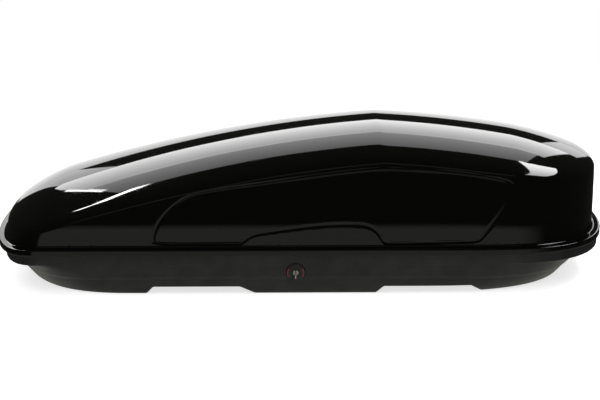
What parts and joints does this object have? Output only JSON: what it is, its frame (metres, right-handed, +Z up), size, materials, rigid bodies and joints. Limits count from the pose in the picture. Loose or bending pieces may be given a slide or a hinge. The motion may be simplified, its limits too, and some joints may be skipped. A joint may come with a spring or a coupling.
{
  "type": "roof cargo box",
  "caption": "Long hard-shell roof cargo box with a glossy crowned lid, satin base, side opening, lock, latch bar and gas struts.",
  "frame": {"origin": "middle of the footprint, on the plane of the feet", "axes": "+X to the tail, -Y to the side that opens and has the lock, +Z up"},
  "size_m": [1.85, 0.8565, 0.447],
  "materials": {
    "gloss_shell": "high-gloss black formed ABS",
    "satin_shell": "satin black formed ABS with a fine grain",
    "zinc_steel": "zinc-plated pressed steel",
    "aluminium": "mill-finish extrusion",
    "black_rivet": "black-coated rivet",
    "moulded_black": "moulded black plastic",
    "red_indicator": "red inlay",
    "lock_metal": "satin nickel",
    "key_metal": "nickel-plated brass, worn",
    "strut_black": "black painted tube",
    "polished_steel": "ground and nitrided rod",
    "webbing": "woven black webbing"
  },
  "bodies": {
    "base": {"bar_guide_front": "moulded_black", "bar_guide_rear": "moulded_black", "base_hinge_leaf_front": "zinc_steel", "base_hinge_leaf_middle": "zinc_steel", "base_hinge_leaf_rear": "zinc_steel", "base_hinge_rivets": "black_rivet", "base_shell": "satin_shell", "cargo_strap_front": "webbing", "cargo_strap_rear": "webbing", "floor_rail_far": "zinc_steel", "floor_rail_near": "zinc_steel", "floor_rail_rivets": "zinc_steel", "front_strut_base_bracket": "zinc_steel", "front_strut_base_stud": "zinc_steel", "hinge_pin_front": "zinc_steel", "hinge_pin_middle": "zinc_steel", "hinge_pin_rear": "zinc_steel", "lock_housing": "moulded_black", "lock_indicator_ring": "red_indicator", "lock_nut": "moulded_black", "rear_strut_base_bracket": "zinc_steel", "rear_strut_base_stud": "zinc_steel", "strap_buckle_front": "moulded_black", "strap_buckle_rear": "moulded_black", "strut_base_rivets": "zinc_steel"},
    "lid": {"catch_plate_front": "zinc_steel", "catch_plate_middle": "zinc_steel", "catch_plate_rear": "zinc_steel", "catch_rivets": "black_rivet", "front_strut_lid_bracket": "zinc_steel", "front_strut_lid_stud": "zinc_steel", "lid_hinge_leaf_front": "zinc_steel", "lid_hinge_leaf_middle": "zinc_steel", "lid_hinge_leaf_rear": "zinc_steel", "lid_hinge_rivets": "black_rivet", "lid_shell": "gloss_shell", "lid_stiffener_far": "aluminium", "lid_stiffener_near": "aluminium", "rear_strut_lid_bracket": "zinc_steel", "rear_strut_lid_stud": "zinc_steel", "strut_lid_rivets": "black_rivet"},
    "front_strut_cylinder": {"front_strut_cylinder": "strut_black"},
    "front_strut_rod": {"front_strut_rod": "polished_steel"},
    "key": {"key": "key_metal"},
    "latch": {"latch_bar": "zinc_steel", "latch_stud_front": "zinc_steel", "latch_stud_middle": "zinc_steel", "latch_stud_rear": "zinc_steel"},
    "lock": {"lock_crank": "zinc_steel", "lock_cylinder": "lock_metal"},
    "rear_strut_cylinder": {"rear_strut_cylinder": "strut_black"},
    "rear_strut_rod": {"rear_strut_rod": "polished_steel"}
  },
  "joints": [
    {"name": "lid_hinge", "type": "hinge", "parent": "base", "child": "lid", "pos_m": [0, 0.41025, 0.13], "axis": [-1, 0, 0], "range_deg": [0, 45]},
    {"name": "lock_turn", "type": "hinge", "parent": "base", "child": "lock", "pos_m": [-0.013, -0.404, 0.069], "axis": [0, 1, 0], "range_deg": [0, 90]},
    {"name": "latch_slide", "type": "slide", "parent": "base", "child": "latch", "axis": [1, 0, 0], "range_m": [0, 0.017]},
    {"name": "key_pull", "type": "slide", "parent": "lock", "child": "key", "axis": [0, -1, 0], "range_m": [0, 0.03]},
    {"name": "front_strut_swing", "type": "hinge", "parent": "base", "child": "front_strut_cylinder", "pos_m": [-0.23, 0.27225, 0.04708], "axis": [-1, 0, 0], "range_deg": [0, 22.5]},
    {"name": "front_strut_stroke", "type": "slide", "parent": "front_strut_cylinder", "child": "front_strut_rod", "axis": [0, 0.2504, 0.9681], "range_m": [0, 0.07241]},
    {"name": "rear_strut_swing", "type": "hinge", "parent": "base", "child": "rear_strut_cylinder", "pos_m": [0.44, 0.27225, 0.04708], "axis": [-1, 0, 0], "range_deg": [0, 22.5]},
    {"name": "rear_strut_stroke", "type": "slide", "parent": "rear_strut_cylinder", "child": "rear_strut_rod", "axis": [0, 0.2504, 0.9681], "range_m": [0, 0.07241]}
  ],
  "couplings": [
    {"joint": "lock_turn", "follows": "latch_slide", "rad_per_m": 92.4},
    {"joint": "front_strut_swing", "follows": "lid_hinge", "ratio": 0.5},
    {"joint": "front_strut_stroke", "follows": "lid_hinge", "m_per_rad": 0.092189},
    {"joint": "rear_strut_swing", "follows": "lid_hinge", "ratio": 0.5},
    {"joint": "rear_strut_stroke", "follows": "lid_hinge", "m_per_rad": 0.092189}
  ]
}
